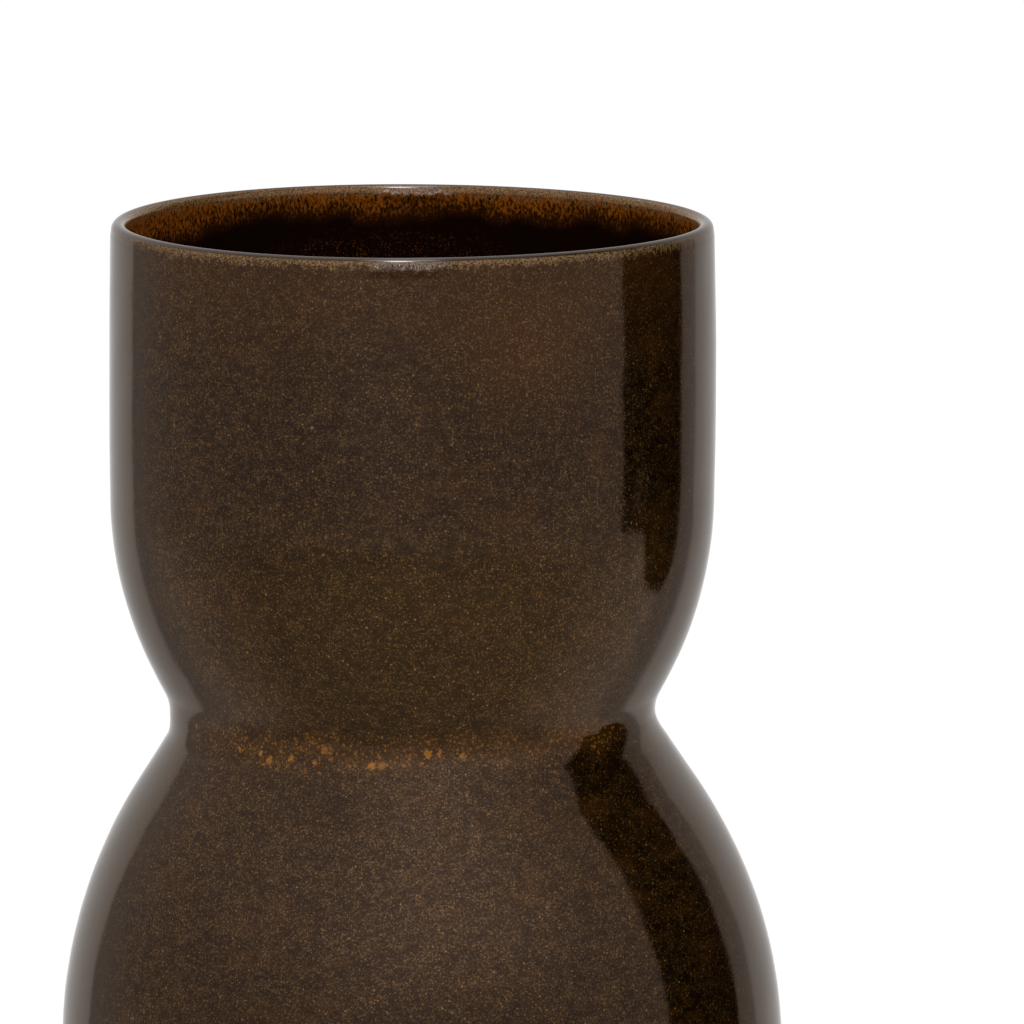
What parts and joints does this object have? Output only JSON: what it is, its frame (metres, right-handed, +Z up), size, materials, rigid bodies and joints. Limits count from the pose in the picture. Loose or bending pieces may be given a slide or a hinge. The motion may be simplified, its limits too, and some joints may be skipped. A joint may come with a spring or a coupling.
{
  "type": "stoneware vase",
  "caption": "Waisted stoneware vase: a straight-sided open cup luted onto a round bulb, dark speckled gloss glaze inside and out, bare foot ring.",
  "frame": {"origin": "centre of the foot ring's resting plane", "axes": "+Z up along the axis of revolution, towards the mouth; +X and +Y level and equivalent"},
  "size_m": [0.1678, 0.1678, 0.2685],
  "materials": {
    "stoneware_clay": "bare fired stoneware, matt, warm brown with fine dark grog",
    "slip": "fired clay slip, matt",
    "outer_glaze": "gloss dark brown glaze with fine golden tan speckle, breaking amber at the lip and the waist",
    "inner_glaze": "gloss dark brown liner glaze, breaking amber and streaked below the lip"
  },
  "bodies": {
    "root": {"lower_bulb": "stoneware_clay", "upper_cup": "stoneware_clay", "waist_slip_seam": "slip", "outer_glaze": "outer_glaze", "inner_glaze": "inner_glaze"}
  },
  "joints": []
}
